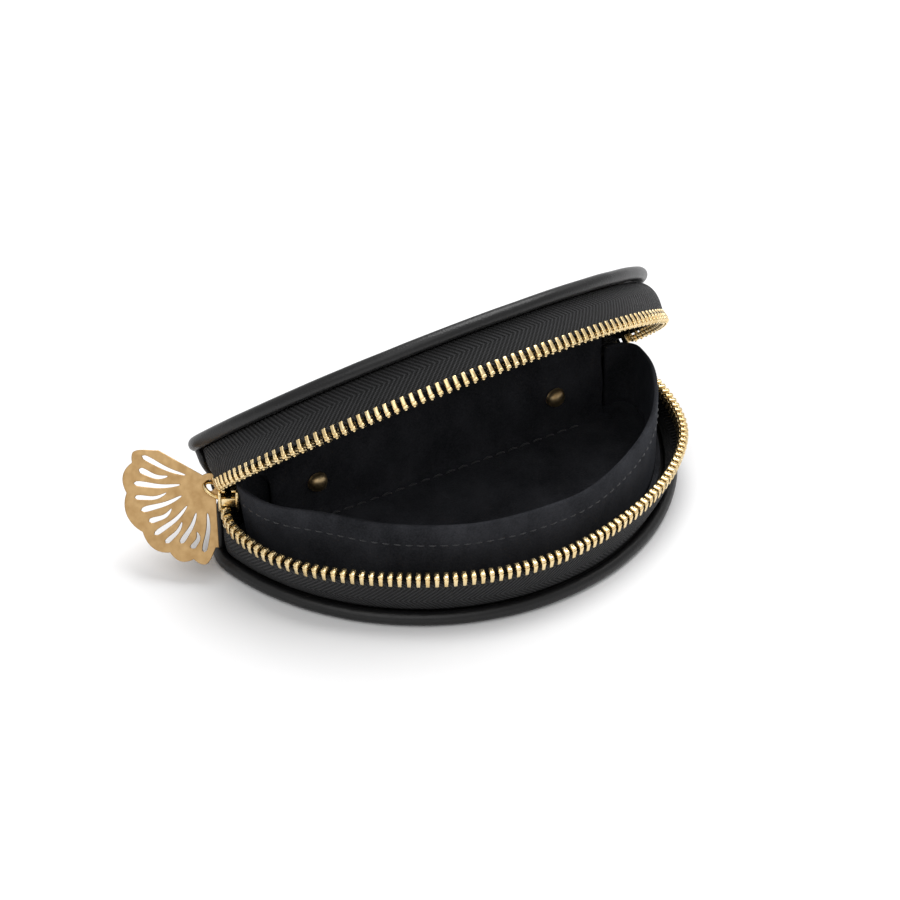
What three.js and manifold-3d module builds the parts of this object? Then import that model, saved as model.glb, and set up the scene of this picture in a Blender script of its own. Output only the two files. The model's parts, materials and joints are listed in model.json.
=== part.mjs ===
// Half-moon leather coin purse, lying open on its base.
//
// Millimetres, +Z up. +X runs along the hinge, the curved front faces -Y and the straight
// back is at +Y. The origin is on the flat underside, in the middle of the purse.
// The lid is built closed, mirrored from the base, and then swung open about the hinge line.

import * as THREE from 'three';
import { mergeVertices } from 'three/addons/utils/BufferGeometryUtils.js';
import Module from 'manifold-3d';

const wasm = await Module();
wasm.setup();

const RAD = Math.PI / 180;
const GAP = 0.3; // clearance between pieces that touch on the real purse

// Outline: one arc, a straight back and two rounded corners, on the middle of the rolled edge
const ARC_Y = 29;
const RIM_R = 56.5;
const BACK_Y = ARC_Y - 1;
const CORNER_R = 9;
const ROLL_R = 2; // radius of the rolled leather edge

// Heights in one half, measured from the outside of its panel
const PANEL_T = 1.5;
const BOARD_T = 0.8;
const LINING_T = 0.6;
const BASE_SEAM = 14.45; // from the base's panel to the plane where the teeth meet
const LID_SEAM = 13.5; // the same for the lid, which is a little shallower
const TAPE_LOW_Z = 2 * ROLL_R + GAP;
const TAPE_T = 0.7;
const TAPE_TO_SEAM = 2.45;
const RAIL_TO_SEAM = 1.45;
const TOOTH_TO_SEAM = 0.55;

// Zip: its path is an arc of its own, which tucks in a little at both ends
const ZIP_X = 1.6;
const ZIP_Y = ARC_Y - 3;
const ZIP_R = 55.7;
const ZIP_END = 0.5; // degrees short of the line through the arc's centre
const ZIP_TUCK = 1;
const TUCK_SPAN = 14; // degrees
const TOOTH_PITCH = 2.2;
const TOOTH_DEPTH = 2.2; // across the tape
const STOP_LENGTH = 2.4;

// Inner wall that stands up inside the zip and keeps the coins in
const COLLAR_X = 1.5; // it stands a little off-centre, to leave the slider room
const COLLAR_INSET = 4.5;
const COLLAR_T = 1;
const COLLAR_TOP_Z = 21.8;
const COLLAR_END_X = 42;

// Back: leather spine outside, suede lining inside, two rivets through both
const SPINE_T = 1;
const SPINE_OUT_Y = BACK_Y + 1.6;
const SPINE_HALF = 48;
const SPINE_TOP_Z = 14;
const SPINE_FOLD = 5; // bare fold between the hinge line and the lid's half of the spine
const BACK_LINING_Y = BACK_Y - COLLAR_INSET - COLLAR_T - GAP;
const BACK_LINING_T = 0.7;
const BACK_LINING_HALF = 44;
const LID_LINING_HALF = 39;
const RIVET_X = 31;
const RIVET_Z = 12.2;
const RIVET_HEAD_R = 2.4;
const RIVET_HEAD_H = 1.2;
const RIVET_SHANK_R = 0.9;
const WASHER_T = 0.5;

// Hinge line through a point at its left end, and how far the lid stands open. The line is
// a little askew, because the soft back gives way more at its free right end.
const HINGE_POINT = [-55, BACK_Y - 2.5, BASE_SEAM];
const HINGE_LINE = [1, 0.026, -0.008];
const LID_OPEN = 44 * RAD;

// Slider and its pull
const SLIDER_R = ZIP_R - ZIP_TUCK / 2;
const SLIDER_ANGLE = 181.4 * RAD;
const SLIDER_LENGTH = 8;
const SLIDER_NOSE = 6.6;
const SLIDER_TAIL = 4.6;
const SLIDER_SLOT = 3.9;
const PLATE_T = 0.8;
const WEB_T = 0.5;
const WEB_LENGTH = 1.8;
const BAIL_WIRE_R = 0.45;
const BAIL_HALF = 2.6;
const BAIL_RISE = 2.9;
const BAIL_FOOT_UP = 0.9; // above the slider's middle
const BAIL_TOP_UP = 2.7;

const CHARM_T = 0.9;
const CHARM_R = 15.8;
const CHARM_SPREAD = 66 * RAD; // half the fan's opening
const CHARM_LOBES = 7;
const CHARM_SCALLOP = 1.3;
const CHARM_SLOTS = 11;
const CHARM_EYE_R = 1.3;
const CHARM_STEM_R = 2.5;
const CHARM_TURN = 212 * RAD; // way the fan's middle points, in its own plane
const CHARM_LEAN = 53 * RAD; // plane's slope from the table
const CHARM_FACE = -120.5 * RAD; // compass direction that the fan faces

const COLORS = { leather: 0x17171a, suede: 0x1a1c22, tape: 0x1b1b1e, board: 0x6e675c,
  brass: 0xc9a04e, antique: 0x8a6a34, charm: 0xc2a055 };

function material(color, roughness, metalness) {
  return new THREE.MeshStandardMaterial({ color, roughness, metalness });
}

const leather = () => material(COLORS.leather, 0.55, 0);
const suede = () => material(COLORS.suede, 0.95, 0);
const woven = () => material(COLORS.tape, 0.85, 0);
const board = () => material(COLORS.board, 0.9, 0);
const brass = () => material(COLORS.brass, 0.3, 1);
const antique = () => material(COLORS.antique, 0.4, 1);
const satinBrass = () => material(COLORS.charm, 0.38, 1);

// ---------------------------------------------------------------- outlines

// Points of the half-moon outline, inset from the middle of the rolled edge. Every inset
// gives the same number of points, so that two insets can be joined point by point.
function moonOutline(inset, cornerSteps = 6, arcSteps = 44) {
  const radius = RIM_R - inset;
  const fillet = CORNER_R - inset;
  const filletY = BACK_Y - CORNER_R;
  const filletX = Math.sqrt((RIM_R - CORNER_R) ** 2 - (filletY - ARC_Y) ** 2);
  const join = Math.atan2(filletY - ARC_Y, filletX);
  const points = [];
  for (let i = 0; i <= cornerSteps; i += 1) {
    const angle = Math.PI / 2 + (join - Math.PI / 2) * (i / cornerSteps);
    points.push([filletX + fillet * Math.cos(angle), filletY + fillet * Math.sin(angle)]);
  }
  for (let i = 1; i < arcSteps; i += 1) {
    const angle = join + (-Math.PI - 2 * join) * (i / arcSteps);
    points.push([radius * Math.cos(angle), ARC_Y + radius * Math.sin(angle)]);
  }
  const left = points.slice(0, cornerSteps + 1).reverse().map(([x, y]) => [-x, y]);
  return points.concat(left);
}

// Point on the zip's path, at an angle in radians, outset from the middle of the teeth.
// A half is { seam, zipX }: the seam's height and the middle of its zip's arc.
function zipPoint(half, angle, outset) {
  const first = (180 + ZIP_END) * RAD;
  const last = (360 - ZIP_END) * RAD;
  const fromEnd = Math.min(angle - first, last - angle) / RAD;
  const tuck = ZIP_TUCK * Math.max(0, 1 - fromEnd / TUCK_SPAN) ** 2;
  const radius = ZIP_R - tuck + outset;
  return [half.zipX + radius * Math.cos(angle), ZIP_Y + radius * Math.sin(angle)];
}

// Evenly spaced angles along the zip, with a margin in millimetres left free at both ends
function zipAngles(count, margin) {
  const first = (180 + ZIP_END) * RAD + margin / ZIP_R;
  const last = (360 - ZIP_END) * RAD - margin / ZIP_R;
  return Array.from({ length: count + 1 }, (_, i) => first + (last - first) * (i / count));
}

// ---------------------------------------------------------------- solids

function solidFrom(positions, faces) {
  const geometry = new THREE.BufferGeometry();
  geometry.setAttribute('position', new THREE.Float32BufferAttribute(positions.flat(), 3));
  geometry.setIndex(faces.flat());
  return geometry;
}

// Joins sections, each a loop of points [x, y, z] with the same count. The run of sections
// closes on itself when looped, and is capped at both ends when it isn't.
function loft(sections, looped) {
  const count = sections[0].length;
  const faces = [];
  const spans = looped ? sections.length : sections.length - 1;
  for (let i = 0; i < spans; i += 1) {
    const here = i * count;
    const next = ((i + 1) % sections.length) * count;
    for (let j = 0; j < count; j += 1) {
      const k = (j + 1) % count;
      faces.push([here + j, next + j, next + k], [here + j, next + k, here + k]);
    }
  }
  if (!looped) {
    const end = (sections.length - 1) * count;
    for (let j = 1; j < count - 1; j += 1) {
      faces.push([0, j, j + 1], [end, end + j + 1, end + j]);
    }
  }
  return faceOutwards(solidFrom(sections.flat(), faces));
}

// Turns every face over when the solid was wound inside out
function faceOutwards(geometry) {
  const position = geometry.getAttribute('position');
  const index = geometry.getIndex();
  const [a, b, c] = [new THREE.Vector3(), new THREE.Vector3(), new THREE.Vector3()];
  let volume = 0;
  for (let i = 0; i < index.count; i += 3) {
    a.fromBufferAttribute(position, index.getX(i));
    b.fromBufferAttribute(position, index.getX(i + 1));
    c.fromBufferAttribute(position, index.getX(i + 2));
    volume += a.dot(b.cross(c));
  }
  if (volume < 0) {
    for (let i = 0; i < index.count; i += 3) {
      const second = index.getX(i + 1);
      index.setX(i + 1, index.getX(i + 2));
      index.setX(i + 2, second);
    }
  }
  return geometry;
}

// Flat half-moon plate between two heights
function moonPlate(inset, lowZ, topZ) {
  const outline = moonOutline(inset).map(([x, y]) => new THREE.Vector2(x, y));
  const plate = new THREE.ExtrudeGeometry(new THREE.Shape(outline),
    { depth: topZ - lowZ, bevelEnabled: false });
  return plate.translate(0, 0, lowZ);
}

// Ring that follows the half-moon outline, from a section of [inset, z] points
function moonRing(section) {
  const loops = section.map(([inset, z]) => moonOutline(inset).map(([x, y]) => [x, y, z]));
  const stations = loops[0].map((_, i) => loops.map((loop) => loop[i]));
  return loft(stations, true);
}

// Strip along part of the half-moon outline, from a section of [inset, z] points. An extra
// flat stretch carries it along the straight back as far as tailX.
function moonStrip(section, tailX) {
  const loops = section.map(([inset, z]) => {
    const points = moonOutline(inset).map(([x, y]) => [x, y, z]);
    const [, backY] = points[0];
    return [[tailX, backY, z], ...points, [-tailX, backY, z]];
  });
  const stations = loops[0].map((_, i) => loops.map((loop) => loop[i]));
  return loft(stations, false);
}

// Strip along the zip, from a section of [outset, z] points at each angle
function zipStrip(half, angles, sectionAt) {
  const stations = angles.map((angle, i) => sectionAt(i).map(([outset, z]) => {
    const [x, y] = zipPoint(half, angle, outset);
    return [x, y, z];
  }));
  return loft(stations, false);
}

function toManifold(geometry) {
  const bare = geometry.clone();
  bare.deleteAttribute('normal');
  bare.deleteAttribute('uv');
  const merged = mergeVertices(bare, 1e-5);
  return new wasm.Manifold(new wasm.Mesh({
    numProp: 3,
    vertProperties: new Float32Array(merged.getAttribute('position').array),
    triVerts: new Uint32Array(merged.getIndex().array),
  }));
}

function fromManifold(solid) {
  const mesh = solid.getMesh();
  const geometry = new THREE.BufferGeometry();
  geometry.setAttribute('position', new THREE.BufferAttribute(mesh.vertProperties, 3));
  geometry.setIndex(new THREE.BufferAttribute(mesh.triVerts, 1));
  return geometry;
}

const joined = (...parts) => fromManifold(parts.map(toManifold).reduce((a, b) => a.add(b)));
const cut = (part, ...tools) => fromManifold(
  tools.map(toManifold).reduce((a, b) => a.subtract(b), toManifold(part)));

function rotatedProfile(points, segments) {
  return new THREE.LatheGeometry(points.map(([r, y]) => new THREE.Vector2(r, y)), segments);
}

function box(width, depth, height, x, y, z) {
  return new THREE.BoxGeometry(width, depth, height).translate(x, y, z);
}

// ---------------------------------------------------------------- one half of the purse

function rolledEdge() {
  const section = [];
  for (let i = 0; i < 8; i += 1) {
    const angle = (i + 0.5) * (Math.PI / 4);
    const across = ROLL_R / Math.cos(Math.PI / 8);
    section.push([across * Math.cos(angle), ROLL_R + across * Math.sin(angle)]);
  }
  return moonRing(section);
}

const panel = () => moonPlate(ROLL_R + GAP, 0, PANEL_T);

function stiffener() {
  const low = PANEL_T + GAP;
  return moonPlate(ROLL_R + 2 * GAP, low, low + BOARD_T);
}

function floorLining() {
  const low = PANEL_T + BOARD_T + 2 * GAP;
  return moonPlate(ROLL_R + 2 * GAP, low, low + LINING_T);
}

// How far the tape's lower edge lies inside the teeth, so that the wall leans outwards
function tapeLean(half, angle) {
  const [x, y] = zipPoint(half, angle, 0);
  const reach = Math.hypot(x, y - ARC_Y);
  return Math.max(0, reach - RIM_R - GAP);
}

function zipTape(half) {
  const angles = zipAngles(46, 0);
  const top = half.seam - TAPE_TO_SEAM;
  return zipStrip(half, angles, (i) => {
    const lean = tapeLean(half, angles[i]);
    const side = TAPE_T / 2;
    return [[-side - lean, TAPE_LOW_Z], [side - lean, TAPE_LOW_Z], [side, top], [-side, top]];
  });
}

// Section of the row of teeth or of an end stop, from the tape's edge up to a height
function rowSection(half, top) {
  const low = half.seam - TAPE_TO_SEAM + GAP;
  const side = TOOTH_DEPTH / 2;
  return [[-side, low], [side, low], [side, top], [-side, top]];
}

// One row of teeth: a rail with a crest for every tooth
function teethRow(half) {
  const margin = STOP_LENGTH + GAP;
  const length = (180 - 2 * ZIP_END) * RAD * ZIP_R - 2 * margin;
  const teeth = Math.round(length / TOOTH_PITCH);
  return zipStrip(half, zipAngles(2 * teeth, margin), (i) => rowSection(
    half, half.seam - (i % 2 === 1 ? TOOTH_TO_SEAM : RAIL_TO_SEAM)));
}

// Small clamp that closes off a row of teeth; side is -1 at the left end and 1 at the right
function endStop(half, side) {
  const stretch = zipAngles(1, 0);
  const step = STOP_LENGTH / ZIP_R;
  const angles = side < 0 ? [stretch[0], stretch[0] + step] : [stretch[1] - step, stretch[1]];
  return zipStrip(half, angles, () => rowSection(half, half.seam - TOOTH_TO_SEAM));
}

// ---------------------------------------------------------------- back and inside

function collar() {
  const low = PANEL_T + BOARD_T + LINING_T + 3 * GAP;
  const inner = COLLAR_INSET + COLLAR_T;
  return moonStrip([[COLLAR_INSET, low], [COLLAR_INSET, COLLAR_TOP_Z], [inner, COLLAR_TOP_Z],
    [inner, low]], COLLAR_END_X).translate(COLLAR_X, 0, 0);
}

function wallLining(half) {
  const top = half.seam - SLIDER_NOSE / 2 - 2 * GAP;
  const angles = zipAngles(40, 6);
  return zipStrip(half, angles, (i) => {
    const outer = -tapeLean(half, angles[i]) - TAPE_T / 2 - 2 * GAP;
    return [[outer - LINING_T, TAPE_LOW_Z], [outer, TAPE_LOW_Z], [outer, top],
      [outer - LINING_T, top]];
  });
}

function backPlate(half, outerY, thickness, lowZ, topZ) {
  return box(2 * half, thickness, topZ - lowZ, 0, outerY - thickness / 2, (lowZ + topZ) / 2);
}

function rivetHoles(part) {
  const radius = RIVET_SHANK_R + GAP;
  const tools = [-RIVET_X, RIVET_X].map((x) => new THREE.CylinderGeometry(radius, radius, 30, 16)
    .translate(x, BACK_Y, RIVET_Z));
  return cut(part, ...tools);
}

const spineLower = () => rivetHoles(
  backPlate(SPINE_HALF, SPINE_OUT_Y, SPINE_T, TAPE_LOW_Z, SPINE_TOP_Z));

const spineUpper = () => backPlate(SPINE_HALF, SPINE_OUT_Y, SPINE_T, TAPE_LOW_Z,
  LID_SEAM - SPINE_FOLD);

function backLiningLower() {
  const low = PANEL_T + BOARD_T + LINING_T + 3 * GAP;
  return rivetHoles(
    backPlate(BACK_LINING_HALF, BACK_LINING_Y, BACK_LINING_T, low, SPINE_TOP_Z));
}

function backLiningUpper() {
  const low = PANEL_T + BOARD_T + LINING_T + 3 * GAP;
  return backPlate(LID_LINING_HALF, BACK_LINING_Y, BACK_LINING_T, low, LID_SEAM - 2);
}

// Domed head and shank in one, turned about Y with the head towards the front
function rivet(x) {
  const headY = BACK_LINING_T + GAP;
  const profile = [[0, headY + RIVET_HEAD_H]];
  for (let i = 1; i <= 4; i += 1) {
    const angle = (i / 4) * (Math.PI / 2);
    profile.push([RIVET_HEAD_R * Math.sin(angle), headY + RIVET_HEAD_H * Math.cos(angle)]);
  }
  const shankEnd = BACK_LINING_Y - SPINE_OUT_Y - GAP - WASHER_T;
  profile.push([RIVET_SHANK_R, headY], [RIVET_SHANK_R, shankEnd], [0, shankEnd]);
  return faceOutwards(mergedLathe(profile, 16).rotateX(Math.PI)
    .translate(x, BACK_LINING_Y, RIVET_Z));
}

function mergedLathe(profile, segments) {
  const lathe = rotatedProfile(profile, segments);
  lathe.deleteAttribute('normal');
  lathe.deleteAttribute('uv');
  return mergeVertices(lathe, 1e-5);
}

function rivetWasher(x) {
  const inner = RIVET_SHANK_R + GAP;
  const outer = RIVET_HEAD_R - 0.2;
  const profile = [[inner, 0], [outer, 0], [outer, WASHER_T], [inner, WASHER_T], [inner, 0]];
  return faceOutwards(mergedLathe(profile, 16).translate(x, SPINE_OUT_Y + GAP, RIVET_Z));
}

// ---------------------------------------------------------------- slider and pull

// The slider's own frame: X along the zip towards the open side, Y away from the purse
function sliderBody() {
  const nose = SLIDER_LENGTH / 2;
  const shoulder = nose - 2.6;
  const outline = new THREE.Shape([
    new THREE.Vector2(-nose, -SLIDER_TAIL / 2), new THREE.Vector2(shoulder, -SLIDER_NOSE / 2),
    new THREE.Vector2(nose - 0.6, -SLIDER_NOSE / 2), new THREE.Vector2(nose, -SLIDER_NOSE / 3),
    new THREE.Vector2(nose, SLIDER_NOSE / 3), new THREE.Vector2(nose - 0.6, SLIDER_NOSE / 2),
    new THREE.Vector2(shoulder, SLIDER_NOSE / 2), new THREE.Vector2(-nose, SLIDER_TAIL / 2),
  ]);
  const plate = (near) => new THREE.ExtrudeGeometry(outline, { depth: PLATE_T, bevelEnabled: false })
    .rotateX(Math.PI / 2).translate(0, near + PLATE_T, 0);
  const web = box(WEB_LENGTH, SLIDER_SLOT + PLATE_T, WEB_T, nose - WEB_LENGTH / 2 - 0.2, 0, 0);
  return joined(plate(SLIDER_SLOT / 2), plate(-SLIDER_SLOT / 2 - PLATE_T), web);
}

// Wire loop that stands on the slider's outer plate and leans upwards
function sliderBail() {
  const foot = SLIDER_SLOT / 2 + PLATE_T + GAP;
  const path = new THREE.CurvePath();
  const rise = foot + BAIL_RISE;
  const bend = 1.4;
  const lift = (y) => (BAIL_TOP_UP - BAIL_FOOT_UP) * ((y - foot) / BAIL_RISE);
  const corner = (x, y) => new THREE.Vector3(x, y, -BAIL_FOOT_UP - lift(y));
  path.add(new THREE.LineCurve3(corner(-BAIL_HALF, foot), corner(-BAIL_HALF, rise - bend)));
  path.add(new THREE.QuadraticBezierCurve3(corner(-BAIL_HALF, rise - bend),
    corner(-BAIL_HALF, rise), corner(-BAIL_HALF + bend, rise)));
  path.add(new THREE.LineCurve3(corner(-BAIL_HALF + bend, rise), corner(BAIL_HALF - bend, rise)));
  path.add(new THREE.QuadraticBezierCurve3(corner(BAIL_HALF - bend, rise),
    corner(BAIL_HALF, rise), corner(BAIL_HALF, rise - bend)));
  path.add(new THREE.LineCurve3(corner(BAIL_HALF, rise - bend), corner(BAIL_HALF, foot)));
  const wire = new THREE.Shape();
  wire.absarc(0, 0, BAIL_WIRE_R, 0, 2 * Math.PI);
  return new THREE.ExtrudeGeometry(wire,
    { steps: 20, curveSegments: 4, extrudePath: path, bevelEnabled: false });
}

// Fan-shaped pull with a scalloped edge and radiating slots, flat in its own XY plane, with
// the eye at the origin and the fan's middle along +X
function charmOutline() {
  const points = [];
  const steps = 8 * CHARM_LOBES;
  for (let i = 0; i <= steps; i += 1) {
    const angle = -CHARM_SPREAD + 2 * CHARM_SPREAD * (i / steps);
    const lobe = Math.abs(Math.sin((i / 8) * Math.PI));
    const radius = CHARM_R - CHARM_SCALLOP + CHARM_SCALLOP * lobe
      + 2.2 * Math.cos((angle / CHARM_SPREAD) * (Math.PI / 2));
    points.push(new THREE.Vector2(radius * Math.cos(angle), radius * Math.sin(angle)));
  }
  for (let i = 0; i <= 12; i += 1) {
    const angle = CHARM_SPREAD + 0.9 + (2 * Math.PI - 2 * CHARM_SPREAD - 1.8) * (i / 12);
    points.push(new THREE.Vector2(CHARM_STEM_R * Math.cos(angle), CHARM_STEM_R * Math.sin(angle)));
  }
  return points;
}

// Teardrop slot along a ray of the fan, narrow near the eye
function charmSlot(angle, near, far, width) {
  const along = new THREE.Vector2(Math.cos(angle), Math.sin(angle));
  const across = new THREE.Vector2(-along.y, along.x);
  const at = (distance, side) => along.clone().multiplyScalar(distance)
    .addScaledVector(across, side);
  const points = [at(near, 0)];
  const round = far - width;
  for (let i = 0; i <= 6; i += 1) {
    const turn = -Math.PI / 2 + Math.PI * (i / 6);
    points.push(at(round + width * Math.cos(turn), width * Math.sin(turn)));
  }
  return new THREE.Path(points);
}

function pullCharm() {
  const shape = new THREE.Shape(charmOutline());
  const eye = new THREE.Path();
  eye.absarc(0, 0, CHARM_EYE_R, 0, 2 * Math.PI, true);
  shape.holes.push(eye);
  for (let i = 0; i < CHARM_SLOTS; i += 1) {
    const angle = (i / (CHARM_SLOTS - 1) - 0.5) * 2 * (CHARM_SPREAD - 0.12);
    const inner = i % 2 === 0 ? 6 : 9.5;
    const edge = CHARM_R - 2.6 + 2.2 * Math.cos((angle / CHARM_SPREAD) * (Math.PI / 2));
    shape.holes.push(charmSlot(angle, inner, edge, i % 2 === 0 ? 1 : 0.8));
  }
  const plate = new THREE.ExtrudeGeometry(shape,
    { depth: CHARM_T, bevelEnabled: false, curveSegments: 12 });
  return plate.translate(0, 0, -CHARM_T / 2);
}

// ---------------------------------------------------------------- assembly

function named(name, geometry, look) {
  const mesh = new THREE.Mesh(geometry, look);
  mesh.name = name;
  return mesh;
}

function addAll(group, rows) {
  rows.forEach(([name, geometry, look]) => group.add(named(name, geometry, look)));
  return group;
}

function baseHalf() {
  const half = { seam: BASE_SEAM, zipX: ZIP_X };
  return addAll(new THREE.Group(), [
    ['base_cover', panel(), leather()],
    ['base_piping', rolledEdge(), leather()],
    ['base_board', stiffener(), board()],
    ['base_lining', floorLining(), suede()],
    ['collar', collar(), suede()],
    ['lower_zip_tape', zipTape(half), woven()],
    ['lower_teeth', teethRow(half), brass()],
    ['lower_bottom_stop', endStop(half, -1), brass()],
    ['lower_top_stop', endStop(half, 1), brass()],
    ['spine_lower', spineLower(), leather()],
    ['back_lining_lower', backLiningLower(), suede()],
    ['rivet_left', rivet(-RIVET_X), antique()],
    ['rivet_right', rivet(RIVET_X), antique()],
    ['rivet_washer_left', rivetWasher(-RIVET_X), antique()],
    ['rivet_washer_right', rivetWasher(RIVET_X), antique()],
  ]);
}

// The lid is a base half turned upside down about the seam, then swung about the hinge line
function lidHalf() {
  const half = { seam: LID_SEAM, zipX: -ZIP_X };
  const closed = addAll(new THREE.Group(), [
    ['lid_cover', panel(), leather()],
    ['lid_piping', rolledEdge(), leather()],
    ['lid_board', stiffener(), board()],
    ['lid_lining', floorLining(), suede()],
    ['lid_wall_lining', wallLining(half), suede()],
    ['upper_zip_tape', zipTape(half), woven()],
    ['upper_teeth', teethRow(half), brass()],
    ['upper_bottom_stop', endStop(half, 1), brass()],
    ['upper_top_stop', endStop(half, -1), brass()],
    ['spine_upper', spineUpper(), leather()],
    ['back_lining_upper', backLiningUpper(), suede()],
  ]);
  const hinge = new THREE.Vector3(...HINGE_POINT);
  closed.rotation.y = Math.PI;
  closed.position.set(0, 0, BASE_SEAM + LID_SEAM).sub(hinge);
  const swung = new THREE.Group();
  swung.add(closed);
  swung.position.copy(hinge);
  swung.quaternion.setFromAxisAngle(new THREE.Vector3(...HINGE_LINE).normalize(), -LID_OPEN);
  return swung;
}

// Slider at its resting angle, with its X axis along the zip and its Y axis outwards
function sliderOnZip() {
  const slider = addAll(new THREE.Group(), [
    ['slider_body', sliderBody(), brass()],
    ['slider_bail', sliderBail(), brass()],
  ]);
  const angle = SLIDER_ANGLE;
  const outwards = new THREE.Vector3(Math.cos(angle), Math.sin(angle), 0);
  const along = new THREE.Vector3(-Math.sin(angle), Math.cos(angle), 0);
  const down = new THREE.Vector3().crossVectors(along, outwards);
  slider.quaternion.setFromRotationMatrix(new THREE.Matrix4().makeBasis(along, outwards, down));
  slider.position.set(ZIP_X + SLIDER_R * Math.cos(angle), ZIP_Y + SLIDER_R * Math.sin(angle),
    BASE_SEAM);
  return slider;
}

// Pull hung on the bail, leaning with its foot on the table
function hungPull() {
  const pull = named('pull_charm', pullCharm(), satinBrass());
  const reach = SLIDER_R + SLIDER_SLOT / 2 + PLATE_T + GAP + BAIL_RISE;
  const side = new THREE.Vector3(-Math.sin(CHARM_FACE), Math.cos(CHARM_FACE), 0);
  const facing = new THREE.Vector3(Math.cos(CHARM_FACE) * Math.sin(CHARM_LEAN),
    Math.sin(CHARM_FACE) * Math.sin(CHARM_LEAN), Math.cos(CHARM_LEAN));
  const up = new THREE.Vector3().crossVectors(facing, side);
  const leaning = new THREE.Group();
  leaning.quaternion.setFromRotationMatrix(new THREE.Matrix4().makeBasis(side, up, facing));
  leaning.position.set(ZIP_X + reach * Math.cos(SLIDER_ANGLE),
    ZIP_Y + reach * Math.sin(SLIDER_ANGLE), BASE_SEAM + BAIL_TOP_UP);
  pull.rotation.z = CHARM_TURN;
  leaning.add(pull);
  return leaning;
}

const purse = new THREE.Group();
purse.add(baseHalf(), lidHalf(), sliderOnZip(), hungPull());

export default purse;
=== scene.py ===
"""Half-moon leather coin purse, lying open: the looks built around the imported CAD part.

Shapes are worked out in millimetres, in the row frame: X along the hinge, the curved front
towards -Y, Z up, the origin under the middle of the purse. Both halves share one local
frame; the lid's half is turned over, laid on the base and swung open about its hinge.
"""

import json
import math
import random

import bmesh
import bpy
import numpy as np
from mathutils import Matrix, Vector, noise


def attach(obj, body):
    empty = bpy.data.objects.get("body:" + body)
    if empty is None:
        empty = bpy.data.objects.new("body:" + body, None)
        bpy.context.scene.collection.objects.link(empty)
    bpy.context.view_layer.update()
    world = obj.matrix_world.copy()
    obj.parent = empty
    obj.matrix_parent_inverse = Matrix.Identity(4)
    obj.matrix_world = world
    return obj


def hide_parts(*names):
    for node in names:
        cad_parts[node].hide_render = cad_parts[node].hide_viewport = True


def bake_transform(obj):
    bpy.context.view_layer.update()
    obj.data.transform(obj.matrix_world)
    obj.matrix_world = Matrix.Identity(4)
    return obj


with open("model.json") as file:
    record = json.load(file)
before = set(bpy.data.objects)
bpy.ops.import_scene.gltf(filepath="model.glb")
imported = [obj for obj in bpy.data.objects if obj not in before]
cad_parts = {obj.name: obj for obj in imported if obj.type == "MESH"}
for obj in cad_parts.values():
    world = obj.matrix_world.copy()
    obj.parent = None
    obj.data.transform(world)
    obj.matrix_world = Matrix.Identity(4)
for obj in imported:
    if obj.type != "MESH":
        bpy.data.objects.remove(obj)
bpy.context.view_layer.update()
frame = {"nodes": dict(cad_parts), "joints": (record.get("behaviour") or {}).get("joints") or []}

MM = 0.001

# Outline of a half: one arc, a straight back and two rounded corners
ARC_Y = 29.0
RIM_R = 56.5
BACK_Y = 28.0
CORNER_R = 9.0
CORNER_STEPS = 10
ARC_STEPS = 120
BACK_STEPS = 36
ROLL_R = 1.55
ROLL_OUT = 0.35  # how far the middle of the roll stands outside the outline
LID_STRETCH = 1.6  # how far the soft lid reaches out past the base at its right end
STRETCH_START = 15.0  # distance from the middle where the stretch begins
STRETCH_SPAN = 40.0

# Heights in one half, from the outside of its panel
PANEL_TOP = 1.5
FLOOR_Z = 3.7
BASE_SEAM = 14.45
LID_SEAM = 13.5
TAPE_LOW_Z = 3.2
TAPE_TO_SEAM = 2.3
TAPE_T = 0.55

# Zip
ZIP_X = 1.6
ZIP_Y = 26.0
ZIP_R = 55.7
ZIP_END = 0.5
LEFT_TUCK = (4.0, 12.0)  # how far the zip turns in at its end, and over how many degrees
RIGHT_TUCKS = {"base": (4.4, 36.0), "lid": (4.0, 16.0)}
# Where the soft wall stands out or in: at which angle, over how many degrees, how far
SWELLS = ((204.0, 20.0, 3.8), (286.0, 20.0, -1.3), (326.0, 12.0, 0.9))
LEFT_RISE = 1.5  # how far the shut end of the zip rides up towards the lid
LEFT_RISE_END = 189.0
LEFT_RISE_SPAN = 8.0
RIGHT_DROOP = 1.1  # how far both rows sag towards the base at the open end
RIGHT_DROOP_START = 285.0
RIGHT_DROOP_SPAN = 60.0
WALL_BELLY = 0.45
LID_SHOULDER = 1.5  # how far the lid's wall bellies out, near its rolled edge, at the open end
SHOULDER_START = 312.0
SHOULDER_SPAN = 24.0
TWILL_BAND = 4.3
RIB_PITCH = 1.15
YARN_PITCH = 0.5
TAPE_BEAD = 0.35  # extra half-thickness of the tape's edge, which the teeth clasp
BEAD_SHARE = 0.07  # how much of the tape's height the bead takes
TAPE_STEPS = 14
TAPE_COLUMNS = 150
TAIL_STEPS = 9
TOOTH_PITCH = 1.96
TOOTH_TO_SEAM = 0.32
TOOTH_LEG = (0.92, 0.62, 2.0)  # sizes along the zip, outwards and up
TOOTH_LEG_OUT = 0.82
TOOTH_NECK = (1.02, 2.24, 0.9)
TOOTH_HEAD = (1.14, 1.9, 0.8)
NIB_R = 0.34
TOOTH_LEAN = 0.8  # how much of the wall's slope the teeth take
STOP_SIZE = (2.4, 2.1, 2.4)
STOP_TO_TOOTH = 0.3
TAIL_DEGREES = 1.6  # stretch of tape past each end of the zip, round the back corner

# Inner wall and back
COLLAR_X = 1.5
COLLAR_INSET = 4.5
COLLAR_T = 1.0
COLLAR_TAIL = 43.0
COLLAR_TOP = 21.9
COLLAR_SUNK = 0.6  # how far its foot goes into the floor lining
COLLAR_DIP = 1.5  # how far its edge drops towards the back
COLLAR_DIP_SPAN = 22.0
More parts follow.
